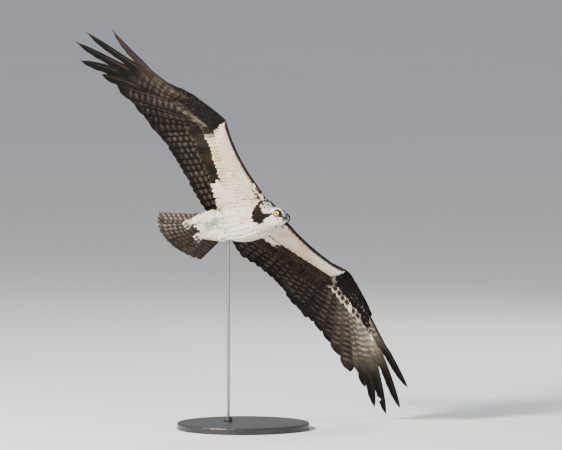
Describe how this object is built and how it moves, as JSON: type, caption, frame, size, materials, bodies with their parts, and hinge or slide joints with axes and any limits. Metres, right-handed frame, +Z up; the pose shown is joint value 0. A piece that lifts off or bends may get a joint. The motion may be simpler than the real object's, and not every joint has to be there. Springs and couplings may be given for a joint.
{
  "type": "osprey model on a display stand",
  "caption": "Life-size still model of an osprey banking in flight, wings and tail spread and legs tucked back, held by a slim rod on a flat round base.",
  "frame": {"origin": "centre of the underside of the stand's round base, on the floor", "axes": "+Z up; the bird heads towards +X and -Y with its left wing down, and -Y is the side its underside is seen from"},
  "size_m": [0.9548, 0.4516, 1.1494],
  "materials": {
    "body_plumage": "soft overlapping body feathers, white with dark brown marks",
    "wing_plumage": "flight feathers and coverts, dark brown, barred grey-brown and white below",
    "tail_plumage": "tail feathers, grey-brown with pale bars",
    "bill_horn": "black horn with a blue-grey cere",
    "eye": "wet-looking yellow iris with a black pupil",
    "foot_skin": "pale grey scaly toes with black claws",
    "stand_paint": "satin black paint on a turned wooden disc",
    "rod_steel": "brushed steel"
  },
  "bodies": {
    "root": {"torso": "body_plumage", "neck": "body_plumage", "head": "body_plumage", "leg_left": "body_plumage", "leg_right": "body_plumage", "wing_arm_left": "wing_plumage", "wing_arm_right": "wing_plumage", "wing_hand_left": "wing_plumage", "wing_hand_right": "wing_plumage", "tail": "tail_plumage", "bill_upper": "bill_horn", "bill_lower": "bill_horn", "eye_left": "eye", "eye_right": "eye", "foot_left": "foot_skin", "foot_right": "foot_skin", "stand_base": "stand_paint", "stand_rod": "rod_steel"}
  },
  "joints": []
}
